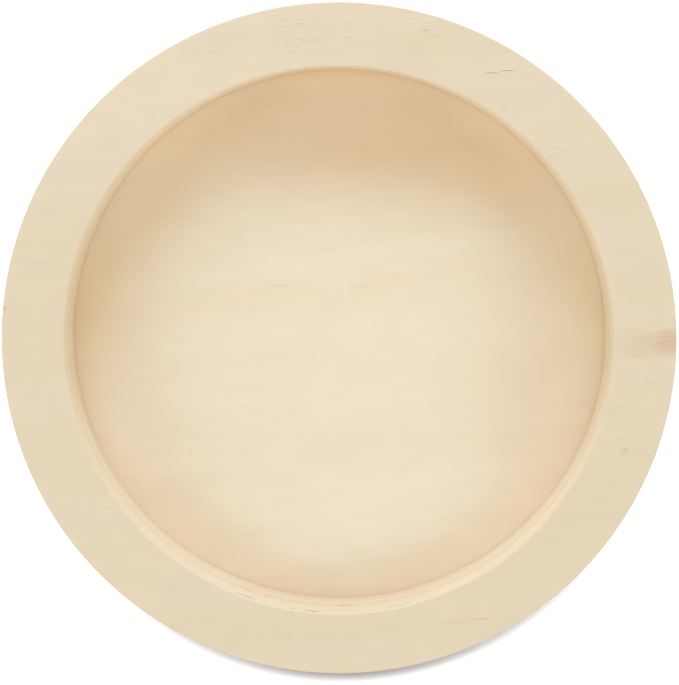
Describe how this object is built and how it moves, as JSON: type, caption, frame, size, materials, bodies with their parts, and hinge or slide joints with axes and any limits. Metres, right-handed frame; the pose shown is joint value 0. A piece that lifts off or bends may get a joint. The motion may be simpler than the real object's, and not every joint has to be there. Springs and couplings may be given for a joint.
{
  "type": "cradled round wood panel",
  "caption": "Round painting panel of pale plywood: a thin flat face glued to a ring, lying on its face with the shallow round recess of its back up.",
  "frame": {"origin": "centre of the face panel's front, on the surface that the part lies on", "axes": "+Z is the panel's axis and points out of the recess; +X runs along the face grain; +Y is the top of the panel when it stands or hangs as in the picture"},
  "size_m": [0.2032, 0.2032, 0.0223],
  "materials": {
    "ring_plywood": "sanded, unfinished",
    "face_plywood": "sanded, unfinished"
  },
  "bodies": {
    "root": {"cradle_ring": "ring_plywood", "face_panel": "face_plywood"}
  },
  "joints": []
}
